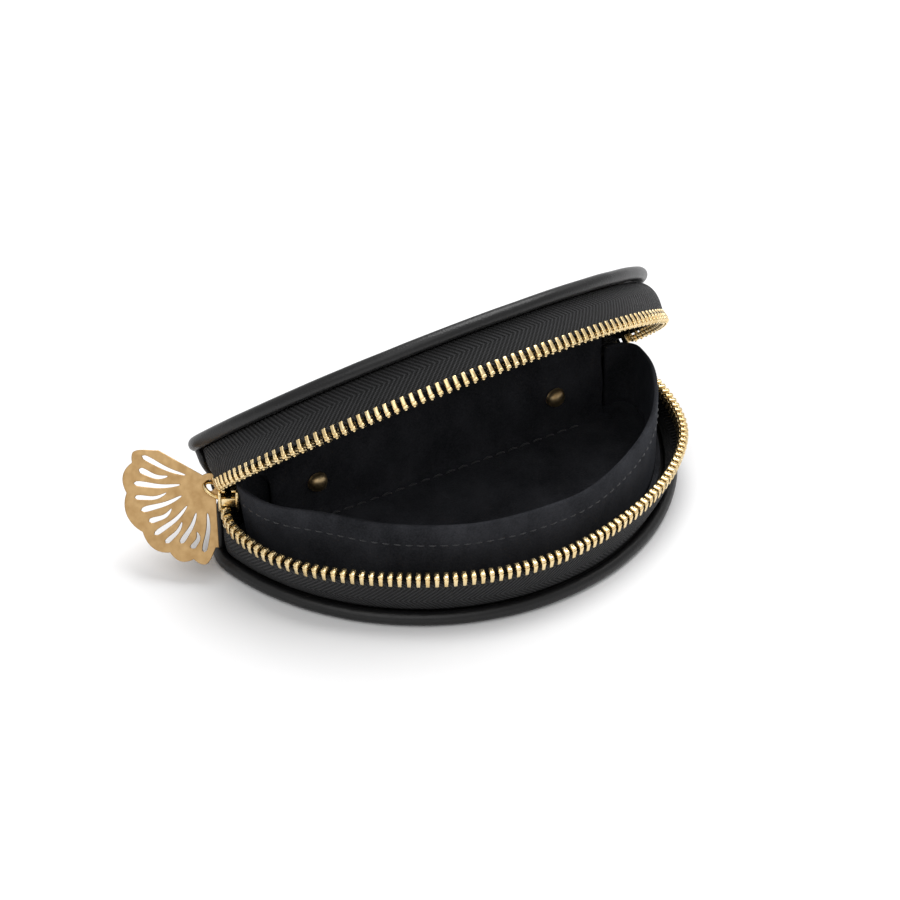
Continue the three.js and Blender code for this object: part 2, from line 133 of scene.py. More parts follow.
# Where the wall leans outwards or inwards: how far, then middle and span in X and in Y
COLLAR_LEANS = ((3.6, -50.0, 7.0, 11.0, 13.0), (-0.7, 50.0, 6.0, 20.0, 7.0))
COLLAR_STITCH_DROP = 5.0
COLLAR_STITCH = (1.6, 2.5, 0.14)  # length, pitch and radius
BACK_STITCH = (2.3, 3.3, 0.19)
STITCH_ROWS = 7
STITCH_SIDES = 8
SPINE_Y = 29.6
SPINE_HALF = 53.6
SPINE_TURN_X = 46.4  # where the spine starts to turn round the back corners
SPINE_TURN_Y = 19.0
# How deep the spine's line lies inside SPINE_Y at each height, up the base and into the lid
SPINE_FOOT = ((2.6, 3.0), (1.2, 4.4), (1.0, 7.0), (1.0, 11.0), (1.0, 13.6))
SPINE_HEAD = ((1.0, 8.4), (1.0, 6.0), (1.2, 4.4), (2.6, 3.0))
HINGE_COLUMNS = 70
HINGE_ROWS = 40
WRAP_START = 3.5  # stretch of the back corner that a wrap covers, past SPINE_TURN_X
WRAP_END = 14.0
WRAP_COLUMNS = 24
WRAP_T = 1.8
WRAP_THIN = 1.5  # stretch over which its end thins out
PLATE_INSET = 2.2  # lining over a whole panel
PLATE_LINING_T = 0.6
LID_WALL_T = 0.5
LID_WALL_IN = 0.75  # how far the lining of the lid's wall stands inside the tape's middle
LINING_Y = 22.2
LINING_HALF = 44.0
RIVET_X = 31.0
RIVET_Z = 12.2
RIVET_R = 2.4
DOME_R = 2.3
DOME_RISE = 2.0
LATHE_STEPS = 40
LATHE_AXIS_R = 0.005  # keeps the faces at the axis from closing to a point

# Slider and pull
SLIDER_AT = (-52.2, 22.9)
SLIDER_TURN = math.radians(153)  # which way its outer plate faces
SLIDER_LENGTH = 6.8
SLIDER_NOSE = 5.8
SLIDER_TAIL = 4.2
SLIDER_SLOT = 3.1
PLATE_T = 0.7
PLATE_FLANGE = (5.2, 1.1, 0.6)
SLIDER_BRIDGE = (2.2, SLIDER_SLOT + 0.6, 2.0)
BAIL_RISE = 3.0
BAIL_HALF = 2.3
BAIL_R = 0.45
BAIL_STEPS = 32
WIRE_SIDES = 12
CHARM_R = 17.2
CHARM_SLOTS = 11
CHARM_HALF_T = 0.3
CHARM_BEVEL = 0.14
CHARM_EYE_R = 1.35
CHARM_TAB_R = 2.6  # round tab that holds the eye
CHARM_TAB_GAP = 0.35  # angle between the fan's sides and the tab
CHARM_SPREAD = math.radians(66)
CHARM_TURN = math.radians(212)
CHARM_LEAN = math.radians(53)
CHARM_FACE = math.radians(-120.5)
CHARM_EYE = Vector((-55.6, 25.0, 18.3))  # where the pull hangs on the slider's loop


# ---------------- places


def joint(name):
    return next(j for j in frame["joints"] if j["name"] == name)


def lid_place():
    """Matrix from the local frame of a half to the open lid."""
    hinge = joint("lid_hinge")
    point = Vector(hinge["pos_m"])
    opened = -math.radians(hinge["range_deg"][0])
    turned_over = Matrix.Translation((0, 0, (BASE_SEAM + LID_SEAM) * MM)) @ Matrix.Rotation(
        math.pi, 4, "Y")
    swing = Matrix.Rotation(opened, 4, Vector(hinge["axis"]))
    return Matrix.Translation(point) @ swing @ Matrix.Translation(-point) @ turned_over


class Half:
    """One half of the purse: the base, or the lid, which is the base turned over."""

    def __init__(self, body, prefix, seam, side, place):
        self.body = body
        self.prefix = prefix
        self.seam = seam
        self.side = side
        self.zip_x = ZIP_X * side
        self.place = place


BASE = Half("base", "lower", BASE_SEAM, 1, Matrix.Identity(4))
LID = Half("lid", "upper", LID_SEAM, -1, lid_place())


def moon_outline(inset):
    """Closed loop of outline points, inset from the middle of the rolled edge."""
    radius = RIM_R - inset
    back = BACK_Y - inset
    fillet = max(CORNER_R - inset, 1.0)
    centre_y = back - fillet
    centre_x = math.sqrt((radius - fillet) ** 2 - (centre_y - ARC_Y) ** 2)
    join = math.atan2(centre_y - ARC_Y, centre_x)
    right = []
    for i in range(CORNER_STEPS + 1):
        angle = math.pi / 2 + (join - math.pi / 2) * i / CORNER_STEPS
        right.append((centre_x + fillet * math.cos(angle), centre_y + fillet * math.sin(angle)))
    arc = []
    for i in range(1, ARC_STEPS):
        angle = join + (-math.pi - 2 * join) * i / ARC_STEPS
        arc.append((radius * math.cos(angle), ARC_Y + radius * math.sin(angle)))
    left = [(-x, y) for x, y in reversed(right)]
    flat = [(centre_x * (2 * i / BACK_STEPS - 1), back) for i in range(1, BACK_STEPS)]
    return np.array(right + arc + left + flat)


def half_outline(half, inset):
    """Outline of one half; the lid is a little longer at the end seen on the right."""
    outline = moon_outline(inset)
    if half.side < 0:
        reach = np.clip((-outline[:, 0] - STRETCH_START) / STRETCH_SPAN, 0, 1)
        outline[:, 0] -= LID_STRETCH * reach * reach
    return outline


def seen_degrees(half, degrees):
    """Angle along the zip as it lies on the base, whichever half it belongs to."""
    return degrees if half.side > 0 else 540 - degrees


def turned_in(from_end, tuck):
    """How far a tuck draws the zip in, at an angle from the zip's end."""
    reach, span = tuck
    return reach * min(1.0, max(0.0, 1 - from_end / span)) ** 2


def zip_radius(half, degrees):
    """Distance of the teeth from the zip's centre, with the soft wall's swells."""
    at = seen_degrees(half, degrees)
    swell = sum(reach * math.exp(-(((at - middle) / span) ** 2))
                for middle, span, reach in SWELLS)
    left = turned_in(at - 180 - ZIP_END, LEFT_TUCK)
    right = turned_in(360 - ZIP_END - at, RIGHT_TUCKS[half.body])
    return ZIP_R + swell - left - right


def eased(share):
    """Smooth step from 0 to 1 as share goes from 0 to 1."""
    share = min(1.0, max(0.0, share))
    return share * share * (3 - 2 * share)


def zip_rise(half, degrees):
    """How far the teeth leave their level, along the half's own Z."""
    at = seen_degrees(half, degrees)
    rise = LEFT_RISE * eased((LEFT_RISE_END - at) / LEFT_RISE_SPAN)
    droop = RIGHT_DROOP * eased((at - RIGHT_DROOP_START) / RIGHT_DROOP_SPAN)
    return half.side * (rise - droop)


def wall_head(half, degrees):
    """Distance of the tape's top edge; past the zip's ends it closes on the back corner."""
    inside = min(max(degrees, 180 + ZIP_END), 360 - ZIP_END)
    past = min(1.0, abs(degrees - inside) / TAIL_DEGREES)
    return zip_radius(half, inside) * (1 - past) + (foot_radius(half, degrees) - 0.2) * past


def foot_radius(half, degrees):
    """Distance from the zip's centre to the seam where the tape leaves the rolled edge."""
    outline = half_outline(half, 1.0)
    centre = np.array([half.zip_x, ZIP_Y])
    offset = outline - centre
    angles = np.degrees(np.arctan2(offset[:, 1], offset[:, 0])) % 360
    order = np.argsort(angles)
    return np.interp(degrees, angles[order], np.hypot(*offset.T)[order])


def zip_xy(half, degrees, radius):
    angle = math.radians(degrees)
    return half.zip_x + radius * math.cos(angle), ZIP_Y + radius * math.sin(angle)


def zip_degrees(count, margin):
    """Even angles along the zip, which leave a margin in millimetres at both ends."""
    edge = ZIP_END + math.degrees(margin / ZIP_R)
    return np.linspace(180 + edge, 360 - edge, count)


# ---------------- mesh building


def add_object(name, data):
    obj = bpy.data.objects.new(name, data)
    bpy.context.scene.collection.objects.link(obj)
    return obj


def make_mesh(name, points, faces, place=None, uvs=None):
    """Object from points in millimetres. uvs holds one (u, v) for each corner of each face."""
    mesh = bpy.data.meshes.new(name)
    mesh.from_pydata([tuple(p) for p in np.asarray(points, float) * MM], [], faces)
    if place is not None:
        mesh.transform(place)
    if uvs is not None:
        layer = mesh.uv_layers.new(name="cloth")
        flat = [c for face in uvs for corner in face for c in corner]
        layer.data.foreach_set("uv", flat)
    mesh.update()
    mesh.polygons.foreach_set("use_smooth", [True] * len(mesh.polygons))
    fix_normals(mesh)
    return add_object(name, mesh)


def fix_normals(mesh):
    """Turns every face outwards."""
    work = bmesh.new()
    work.from_mesh(mesh)
    bmesh.ops.recalc_face_normals(work, faces=work.faces)
    work.to_mesh(mesh)
    work.free()


def loft(name, sections, looped=False, place=None, along=None):
    """Solid through closed sections, all with the same count of points. along is each
    section's distance in millimetres, which with the way round the section makes the UVs."""
    sections = np.asarray(sections, float)
    rows, count = sections.shape[:2]
    middle = sections[rows // 2]
    steps = np.linalg.norm(np.roll(middle, -1, axis=0) - middle, axis=1)
    across = np.concatenate([[0], np.cumsum(steps)])
    if along is None:
        along = np.arange(rows)
    faces = []
    uvs = []
    for i in range(rows if looped else rows - 1):
        k = (i + 1) % rows
        for j in range(count):
            n = (j + 1) % count
            faces.append((i * count + j, k * count + j, k * count + n, i * count + n))
            here = along[i]
            there = along[k] if k else here
            uvs.append([(here, across[j]), (there, across[j]), (there, across[j + 1]),
                        (here, across[j + 1])])
    if not looped:
        ends = [list(range(count)), list(range((rows - 1) * count, rows * count))]
        for end in ends:
            faces.append(end)
            uvs.append([(0, 0)] * count)
    return make_mesh(name, sections.reshape(-1, 3), faces, place, uvs)


def finish_piece(obj, body, material, replaced=()):
    """Gives a piece its body and its one material, and hides the CAD nodes it stands for."""
    obj.data.materials.clear()
    obj.data.materials.append(material)
    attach(obj, body)
    if replaced:
        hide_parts(*replaced)


def ripple(point, scale, amount, seed):
    """Smooth unevenness at a point in millimetres."""
    return amount * noise.noise(Vector(point) / scale + Vector((seed, seed * 0.7, -seed)))


def rounded_bar(low, high, outer, inner, steps=4):
    """Section [radius, z] of a standing strip with a rounded top, from its outer foot."""
    half = (outer - inner) / 2
    middle = (outer + inner) / 2
    heights = [low + (high - half - low) * i / 7 for i in range(7)]
    section = [(outer, z) for z in heights]
    for i in range(steps + 1):
        angle = math.pi * i / steps
        section.append((middle + half * math.cos(angle), high - half + half * math.sin(angle)))
    return section + [(inner, z) for z in reversed(heights)]


# ---------------- materials


class Nodes:
    """A material's node tree, with short calls for its nodes and links."""

    def __init__(self, name):
        self.material = bpy.data.materials.new(name)
        self.material.use_nodes = True
        self.tree = self.material.node_tree
        self.shader = self.tree.nodes["Principled BSDF"]

    def add(self, kind, **values):
        node = self.tree.nodes.new(kind)
        for key, value in values.items():
            if key in node.inputs:
                node.inputs[key].default_value = value
            else:
                setattr(node, key, value)
        return node

    def link(self, output, target):
        self.tree.links.new(output, target)

    def math(self, operation, a, b=0.0, c=0.0):
        node = self.add("ShaderNodeMath", operation=operation)
        for socket, value in zip(node.inputs, (a, b, c)):
            if isinstance(value, (int, float)):
                socket.default_value = value
            else:
                self.link(value, socket)
        return node.outputs[0]

    def ramp(self, factor, low, high, first, last):
        """Value from first to last as factor goes from low to high."""
        node = self.add("ShaderNodeMapRange")
        self.link(factor, node.inputs["Value"])
        for key, value in (("From Min", low), ("From Max", high), ("To Min", first),
                           ("To Max", last)):
            node.inputs[key].default_value = value
        return node.outputs["Result"]

    def tint(self, factor, first, last):
        node = self.add("ShaderNodeMix", data_type="RGBA")
        self.link(factor, node.inputs["Factor"])
        node.inputs["A"].default_value = (*first, 1)
        node.inputs["B"].default_value = (*last, 1)
        return node.outputs["Result"]

    def noise(self, scale, detail=3.0, roughness=0.55, stretch=None):
        place = self.add("ShaderNodeTexCoord").outputs["Object"]
        if stretch:
            mapping = self.add("ShaderNodeMapping")
            self.link(place, mapping.inputs["Vector"])
            mapping.inputs["Scale"].default_value = stretch
            place = mapping.outputs["Vector"]
        node = self.add("ShaderNodeTexNoise", Scale=scale, Detail=detail, Roughness=roughness)
        self.link(place, node.inputs["Vector"])
        return node.outputs["Fac"]

    def cells(self, scale, feature="F1"):
        node = self.add("ShaderNodeTexVoronoi", Scale=scale, feature=feature)
        self.link(self.add("ShaderNodeTexCoord").outputs["Object"], node.inputs["Vector"])
        return node.outputs["Distance"]

    def bump(self, *layers):
        """Each layer is (height, strength, distance in metres)."""
        last = None
        for height, strength, distance in layers:
            node = self.add("ShaderNodeBump", Strength=strength, Distance=distance)
            self.link(height, node.inputs["Height"])
            if last:
                self.link(last, node.inputs["Normal"])
            last = node.outputs["Normal"]
        self.link(last, self.shader.inputs["Normal"])

    def colour(self, output):
        self.link(output, self.shader.inputs["Base Color"])

    def roughness(self, output):
        self.link(output, self.shader.inputs["Roughness"])

    def set(self, **values):
        for key, value in values.items():
            self.shader.inputs[key.replace("_", " ")].default_value = value


def leather_material():
    """Fine-grain black leather, a little shinier where it is rubbed."""
    nodes = Nodes("leather")
    grain = nodes.cells(1500.0, "DISTANCE_TO_EDGE")
    pores = nodes.noise(2600.0, 2.0)
    patches = nodes.noise(60.0, 4.0)
    nodes.colour(nodes.tint(patches, (0.0042, 0.0042, 0.0046), (0.0085, 0.0083, 0.0086)))
    nodes.roughness(nodes.ramp(patches, 0.3, 0.7, 0.3, 0.44))
    creases = nodes.noise(220.0, 5.0, 0.6)
    nodes.bump((creases, 0.25, 0.0005), (grain, 0.5, 0.00012), (pores, 0.2, 0.00006))
    nodes.set(Specular_IOR_Level=0.4)
    return nodes.material


def suede_material():
    """Matt blue-black suede whose nap is brushed in patches."""
    nodes = Nodes("suede")
    brushed = nodes.noise(110.0, 4.0, 0.6, (1.0, 1.0, 0.6))
    nap = nodes.noise(2400.0, 3.0, 0.7)
    fibres = nodes.noise(5200.0, 2.0, 0.7)
    mixed = nodes.math("MULTIPLY_ADD", nap, 0.45, nodes.math("MULTIPLY", brushed, 0.65))
    nodes.colour(nodes.tint(nodes.ramp(mixed, 0.38, 0.74, 0.0, 1.0), (0.0105, 0.011, 0.013),
                            (0.041, 0.042, 0.048)))
    nodes.bump((brushed, 0.15, 0.0006), (nap, 0.55, 0.00022), (fibres, 0.4, 0.0001))
    nodes.set(Roughness=0.96, Specular_IOR_Level=0.1, Sheen_Weight=0.06, Sheen_Roughness=0.5,
              Sheen_Tint=(0.6, 0.66, 0.8, 1.0))
    return nodes.material


def tape_material():
    """Herringbone twill: slanting ribs that turn back at each band along the tape. Its colour is
    painted shade in the grooves and painted light on the rib crests, with random fuzz.
    """
    nodes = Nodes("zip_tape")
    place = nodes.add("ShaderNodeUVMap", uv_map="cloth")
    split = nodes.add("ShaderNodeSeparateXYZ")
    nodes.link(place.outputs["UV"], split.inputs[0])
    along = split.outputs["X"]
    across = split.outputs["Y"]
    folded = nodes.math("PINGPONG", nodes.math("ADD", across, 0.9), TWILL_BAND)
    rib_turn = math.tau / RIB_PITCH
    ribs = nodes.math("SINE", nodes.math("MULTIPLY", nodes.math("ADD", along, folded), rib_turn))
    yarn_turn = math.tau / YARN_PITCH
    twist = nodes.math("SUBTRACT", along, folded)
    yarns = nodes.math("SINE", nodes.math("MULTIPLY", twist, yarn_turn))
    height = nodes.math("MULTIPLY_ADD", yarns, 0.45, ribs)
    fuzz = nodes.noise(3000.0, 2.0)
    # The colour follows the ribs' height: painted shade in the grooves between ribs and painted
    # light on their crests, mixed with random fuzz
    fuzz_and_painted_rib_shade = nodes.math("MULTIPLY_ADD", fuzz, 0.9, height)
    nodes.colour(nodes.tint(nodes.ramp(fuzz_and_painted_rib_shade, -0.3, 2.0, 0.0, 1.0), (0.0022, 0.0022, 0.0025),
                            (0.05, 0.05, 0.053)))
    nodes.bump((height, 1.0, 0.0002), (fuzz, 0.3, 0.00006))
    nodes.set(Roughness=0.66, Specular_IOR_Level=0.3, Sheen_Weight=0.03, Sheen_Roughness=0.4)
    return nodes.material


def metal_material(name, dark, light, low, high, brushed=None):
    """Metal with faint tarnish and, where brushed is given, fine scratches one way."""
    nodes = Nodes(name)
    tarnish = nodes.noise(420.0, 4.0)
    nodes.colour(nodes.tint(nodes.ramp(tarnish, 0.3, 0.72, 0.0, 1.0), light, dark))
    fine = nodes.noise(1500.0, 3.0, 0.6, brushed)
    mixed = nodes.math("MULTIPLY_ADD", fine, 0.5, nodes.math("MULTIPLY", tarnish, 0.5))
    nodes.roughness(nodes.ramp(mixed, 0.3, 0.7, low, high))
    nodes.bump((fine, 0.12, 0.00004))
    nodes.set(Metallic=1.0)
    return nodes.material


def board_material():
    nodes = Nodes("bonded_board")
    grain = nodes.noise(900.0, 5.0)
    nodes.colour(nodes.tint(grain, (0.11, 0.095, 0.075), (0.2, 0.175, 0.14)))
    nodes.bump((grain, 0.4, 0.0002))
    nodes.set(Roughness=0.85)
    return nodes.material


def thread_material():
    nodes = Nodes("thread")
    strands = nodes.noise(4200.0, 2.0)
    nodes.colour(nodes.tint(strands, (0.012, 0.0125, 0.0145), (0.034, 0.035, 0.04)))
    nodes.bump((strands, 0.4, 0.0001))
    nodes.set(Roughness=0.6, Sheen_Weight=0.3)
    return nodes.material


def floor_material():
    nodes = Nodes("pale_floor")
    faint = nodes.noise(3.0, 2.0)
    nodes.colour(nodes.tint(faint, (0.86, 0.86, 0.865), (0.88, 0.88, 0.885)))
    nodes.set(Roughness=0.7, Specular_IOR_Level=0.2)
    return nodes.material


LEATHER = leather_material()
SUEDE = suede_material()
TAPE = tape_material()
BRASS = metal_material("zip_brass", (0.82, 0.6, 0.28), (0.98, 0.8, 0.48), 0.18, 0.32)
ANTIQUE = metal_material("antique_brass", (0.4, 0.27, 0.13), (0.84, 0.64, 0.36), 0.32, 0.46)
CHARM = metal_material("charm_brass", (0.41, 0.25, 0.105), (0.53, 0.35, 0.165), 0.3, 0.46,
                       (1.0, 1.0, 0.12))
BOARD = board_material()
THREAD = thread_material()


# ---------------- leather shells


def shell_profile():
    """[inset, z] from the middle of the outer face, round the rolled edge, to the inside."""
    profile = [(i, 0.3) for i in (26, 22, 18, 14, 11, 8, 6, 4.8)]
    profile += [(4.1, 0.24), (3.5, 0.16), (2.9, 0.3), (2.4, 0.62), (1.9, 0.8), (1.4, 0.62)]
    for i in range(25):
        angle = math.radians(-45 - 305 * i / 24)
        profile.append((ROLL_R * math.cos(angle) - ROLL_OUT,
                        ROLL_R + ROLL_R * math.sin(angle)))
    profile += [(2.0, 1.45), (3.0, PANEL_TOP), (6, PANEL_TOP), (12, PANEL_TOP), (26, PANEL_TOP)]
    return profile


def leather_shell(half, name, replaced):
    """The panel and its rolled edge in one skin, with a sewn groove inside the roll."""
    rings = []
    for inset, z in shell_profile():
        ring = half_outline(half, inset)
        lift = [ripple((x, y, 0), 9.0, 0.07, half.side) for x, y in ring]
        rings.append([(x, y, max(z + d, 0.0)) for (x, y), d in zip(ring, lift)])
    shell = loft(name, rings, place=half.place)
    finish_piece(shell, half.body, LEATHER, replaced)


# ---------------- zip


def shoulder(half, degrees, share):
    """How far the wall's shoulder stands out; the base has none."""
    if half.side > 0:
        return 0.0
    past = seen_degrees(half, degrees) - SHOULDER_START
    reach = LID_SHOULDER * eased(past / SHOULDER_SPAN)
    return reach * math.sin(math.pi * share ** 0.6)


def wall_point(half, degrees, share, offset=0.0):
    """Point of the tape's middle surface; share goes from 0 at its foot to 1 at its top."""
    foot = foot_radius(half, degrees)
    head = wall_head(half, degrees)
    belly = WALL_BELLY * math.sin(math.pi * share) + shoulder(half, degrees, share)
    radius = foot + (head - foot) * share + belly + offset
    x, y = zip_xy(half, degrees, radius)
    top = half.seam - TAPE_TO_SEAM + zip_rise(half, degrees)
    return x, y, TAPE_LOW_Z + (top - TAPE_LOW_Z) * share


def tape_section(half, degrees, thickness, low, high, offset=0.0, bead=0.0):
    """Closed loop round a strip of the wall, up its outside and down its inside."""
    outside = []
    inside = []
    for share in np.linspace(low, high, TAPE_STEPS):
        side = thickness / 2 + bead * max(0.0, (share - 1 + BEAD_SHARE) / BEAD_SHARE)
        outside.append(wall_point(half, degrees, share, offset + side))
        inside.append(wall_point(half, degrees, share, offset - side))
    return outside + inside[::-1]


def zip_tape(half):
    tail = np.linspace(TAIL_DEGREES, 0, TAIL_STEPS)[:-1]
    left = 180 + ZIP_END - tail
    degrees = np.concatenate([left, zip_degrees(TAPE_COLUMNS, 0), 540 - left[::-1]])
    sections = [tape_section(half, d, TAPE_T, 0, 1, bead=TAPE_BEAD) for d in degrees]
    along = np.radians(degrees) * ZIP_R
    name = f"{half.prefix}_tape"
    tape = loft(name, sections, place=half.place, along=along)
    finish_piece(tape, half.body, TAPE, [f"{half.prefix}_zip_tape"])


def bevelled_box(work, size, centre, bevel, segments=2):
    """Adds a box with rounded edges to a bmesh."""
    made = bmesh.ops.create_cube(work, size=1.0)
    corners = made["verts"]
    bmesh.ops.scale(work, vec=size, verts=corners)
    bmesh.ops.translate(work, vec=centre, verts=corners)
    edges = list({e for v in corners for e in v.link_edges})
    bmesh.ops.bevel(work, geom=edges, offset=bevel, segments=segments, affect="EDGES",
                    profile=0.6)


def tooth_shape():
    """One tooth in millimetres: X along the zip, Y outwards, Z towards the other row.
    Two legs clasp the tape's edge, and a nib stands on the head."""
    work = bmesh.new()
    for side in (-1, 1):
        bevelled_box(work, TOOTH_LEG, (0, side * TOOTH_LEG_OUT, -1.8), 0.2)
    bevelled_box(work, TOOTH_NECK, (0, 0, -1.1), 0.26)
    bevelled_box(work, TOOTH_HEAD, (-0.05, 0, -0.42), 0.28)
    nib = bmesh.ops.create_uvsphere(work, u_segments=8, v_segments=6, radius=NIB_R)
    bmesh.ops.translate(work, vec=(0.1, 0, -0.08), verts=nib["verts"])
    return shape_of(work)


def stop_shape():
    work = bmesh.new()
    bevelled_box(work, STOP_SIZE, (0, 0, -1.5), 0.45, 3)
    return shape_of(work)


def shape_of(work):
    """Points and faces of a bmesh, which is freed."""
    work.verts.index_update()
    points = np.array([v.co[:] for v in work.verts])
    faces = [[v.index for v in f.verts] for f in work.faces]
    work.free()
    return points, faces


def zip_axes(half, degrees):
    """Columns along, outwards and up of a tooth, which leans with the wall."""
    angle = math.radians(degrees)
    outward = np.array([math.cos(angle), math.sin(angle), 0.0])
    along = np.array([-math.sin(angle), math.cos(angle), 0.0])
    rise = half.seam - TAPE_LOW_Z
    lean = (zip_radius(half, degrees) - foot_radius(half, degrees)) / rise
    up = np.array([0, 0, 1.0]) + TOOTH_LEAN * lean * outward
    up /= np.linalg.norm(up)
    return np.column_stack([along, np.cross(along, up), up])


def repeated(name, shape, half, stations):
    """Copies of a shape at angles along the zip, in one mesh."""
    points, faces = shape
    all_points = []
    all_faces = []
    for degrees in stations:
        axes = zip_axes(half, degrees)
        x, y = zip_xy(half, degrees, zip_radius(half, degrees))
        start = len(all_points)
        seam = half.seam - TOOTH_TO_SEAM + zip_rise(half, degrees)
        all_points.extend(points @ axes.T + np.array([x, y, seam]))
        all_faces.extend([[i + start for i in face] for face in faces])
    return make_mesh(name, all_points, all_faces, half.place)


def teeth(half):
    """A row of teeth; the two rows are half a pitch apart, so that they can mesh."""
    margin = STOP_SIZE[0] + STOP_TO_TOOTH
    length = math.radians(180 - 2 * ZIP_END) * ZIP_R - 2 * margin
    count = round(length / TOOTH_PITCH)
    first, last = zip_degrees(2, margin)
    pitch = (last - first) / count
    shift = 0.25 if half.side > 0 else 0.75
    seen = [first + (i + shift) * pitch for i in range(count)]
    stations = [at if half.side > 0 else 540 - at for at in seen]
    row = repeated(f"{half.prefix}_brass_teeth", tooth_shape(), half, stations)
    finish_piece(row, half.body, BRASS, [f"{half.prefix}_teeth"])


def end_stops(half):
    ends = zip_degrees(2, STOP_SIZE[0] / 2)
    stops = repeated(f"{half.prefix}_end_stops", stop_shape(), half, ends)
    names = [f"{half.prefix}_bottom_stop", f"{half.prefix}_top_stop"]
    finish_piece(stops, half.body, BRASS, names)


# ---------------- lining and inner wall


def collar_path(inset, tail):
    """The part of the outline that the inner wall follows, from its right tail round."""
    outline = moon_outline(inset)
    back = BACK_Y - inset - 0.01
    front = [p for p in outline if p[1] <= back]
    right = [p for p in outline if p[1] > back and p[0] > tail]
    left = [p for p in outline if p[1] > back and p[0] < -tail]
    return np.array(sorted(right, key=lambda p: p[0]) + front
                    + sorted(left, key=lambda p: p[0]))


def path_normals(path):
    """Unit vectors in plan, to the outside of a path that runs clockwise seen from above."""
    step = np.gradient(path, axis=0)
    step /= np.linalg.norm(step, axis=1)[:, None]
    return np.column_stack([-step[:, 1], step[:, 0]])


def collar_shape(point, z):
    """How far the inner wall leans at a height, with the soft waves of its top edge."""
    share = (z - FLOOR_Z) / (COLLAR_TOP - FLOOR_Z)
    x, y = point
    wave = ripple((x, y, 3.0), 17.0, 0.7, 2.0)
    lean = sum(reach * math.exp(-(((x - at_x) / span_x) ** 2) - ((y - at_y) / span_y) ** 2)
               for reach, at_x, span_x, at_y, span_y in COLLAR_LEANS)
    return share * share * wave + max(0.0, share) * lean


def collar_top(point):
    """Height of the inner wall's edge, which dips towards the back."""
    x, y = point
    dip = min(1.0, max(0.0, y / COLLAR_DIP_SPAN)) ** 2
    return COLLAR_TOP + ripple((x, y, 0), 15.0, 0.4, 5.0) - COLLAR_DIP * dip


def collar_lines():
    """Middle line of the inner wall in plan, and the outward direction at each point."""
    middle = collar_path(COLLAR_INSET + COLLAR_T / 2, COLLAR_TAIL)
    return middle, path_normals(middle)


def inner_wall():
    middle, outwards = collar_lines()
    sections = []
    for (x, y), (nx, ny) in zip(middle, outwards):
        top = collar_top((x, y))
        section = []
        for reach, z in rounded_bar(FLOOR_Z - COLLAR_SUNK, top, COLLAR_T / 2, -COLLAR_T / 2, 6):
            push = reach + collar_shape((x, y), z)
            section.append((x + COLLAR_X + nx * push, y + ny * push, z))
        sections.append(section)
    wall = loft("inner_wall", sections)
    finish_piece(wall, "base", SUEDE, ["collar"])


def point_along(line, reach, at):
    """Point of a line at a distance along it; reach is the distance of each of its points."""
    return np.array([np.interp(at, reach, line[:, k]) for k in range(3)])


def stitch_rings(line, normals, reach, start, length, radius):
    """Rings of one stitch, a rounded bar that dips into the cloth at both ends."""
    rings = []
    for i in range(STITCH_ROWS):
        share = i / (STITCH_ROWS - 1)
        at = start + length * share
        centre = point_along(line, reach, at)
        normal = point_along(normals, reach, at)
        ahead = point_along(line, reach, at + 0.1) - centre
        ahead /= np.linalg.norm(ahead)
        side = np.cross(ahead, normal)
        lift = radius * (1.3 * math.sin(math.pi * share) - 0.55)
        girth = radius * (0.55 + 0.45 * math.sin(math.pi * share))
        for j in range(STITCH_SIDES):
            angle = math.tau * j / STITCH_SIDES
            rings.append(centre + normal * (lift + girth * math.cos(angle))
                         + side * girth * math.sin(angle))
    return rings


def stitch_faces(base):
    """Faces of one stitch whose first point has the index base."""
    rows = [base + STITCH_SIDES * i for i in range(STITCH_ROWS)]
    faces = []
    for here, there in zip(rows, rows[1:]):
        for j in range(STITCH_SIDES):
            k = (j + 1) % STITCH_SIDES
            faces.append([here + j, there + j, there + k, here + k])
    for row in (rows[0], rows[-1]):
        faces.append([row + j for j in range(STITCH_SIDES)])
    return faces


def stitch_run(name, line, normals, stitch):
    """Thread stitches along a line that lies on the base."""
    length, pitch, radius = stitch
    line = np.asarray(line, float)
    normals = np.asarray(normals, float)
    steps = np.linalg.norm(np.diff(line, axis=0), axis=1)
    reach = np.concatenate([[0], np.cumsum(steps)])
    points = []
    faces = []
    start = pitch / 2
    while start + length < reach[-1]:
        faces.extend(stitch_faces(len(points)))
        points.extend(stitch_rings(line, normals, reach, start, length, radius))
        start += pitch
    finish_piece(make_mesh(name, points, faces), "base", THREAD)


def collar_stitches():
    """Top stitching along the outside of the inner wall, a little below its edge."""
    line = []
    normals = []
    for (x, y), (nx, ny) in zip(*collar_lines()):
        z = collar_top((x, y)) - COLLAR_STITCH_DROP
        push = COLLAR_T / 2 + collar_shape((x, y), z)
        line.append((x + COLLAR_X + nx * push, y + ny * push, z))
        normals.append((nx, ny, 0))
    stitch_run("collar_stitches", line, normals, COLLAR_STITCH)


def panel_lining(half, name):
    """Lining sheet over a whole panel, a little uneven, turned up at its edge."""
    edge = [(PLATE_INSET + 1.2, 0.1), (PLATE_INSET + 0.5, 0.3), (PLATE_INSET, 0.55)]
    top = [(inset, 0.0) for inset in np.linspace(26.5, PLATE_INSET + 2.5, 18)] + edge
    under = [(inset, lift - PLATE_LINING_T) for inset, lift in reversed(top)]
    rings = []
    for inset, lift in top + under:
        rings.append([(x, y, FLOOR_Z + lift + ripple((x, y, 0), 13.0, 0.22, half.side + 3))
                      for x, y in half_outline(half, inset)])
    sheet = loft(name, rings, place=half.place)
    finish_piece(sheet, half.body, SUEDE, [f"{half.body}_lining"])


def lid_wall():
    """Suede that backs the lid's tape on the inside."""
    degrees = zip_degrees(120, 4)
    sections = [tape_section(LID, d, LID_WALL_T, 0.02, 0.72, offset=-LID_WALL_IN)
                for d in degrees]
    wall = loft("lid_inner_wall", sections, place=LID.place)
    finish_piece(wall, "lid", SUEDE, ["lid_wall_lining"])


# ---------------- back of the purse


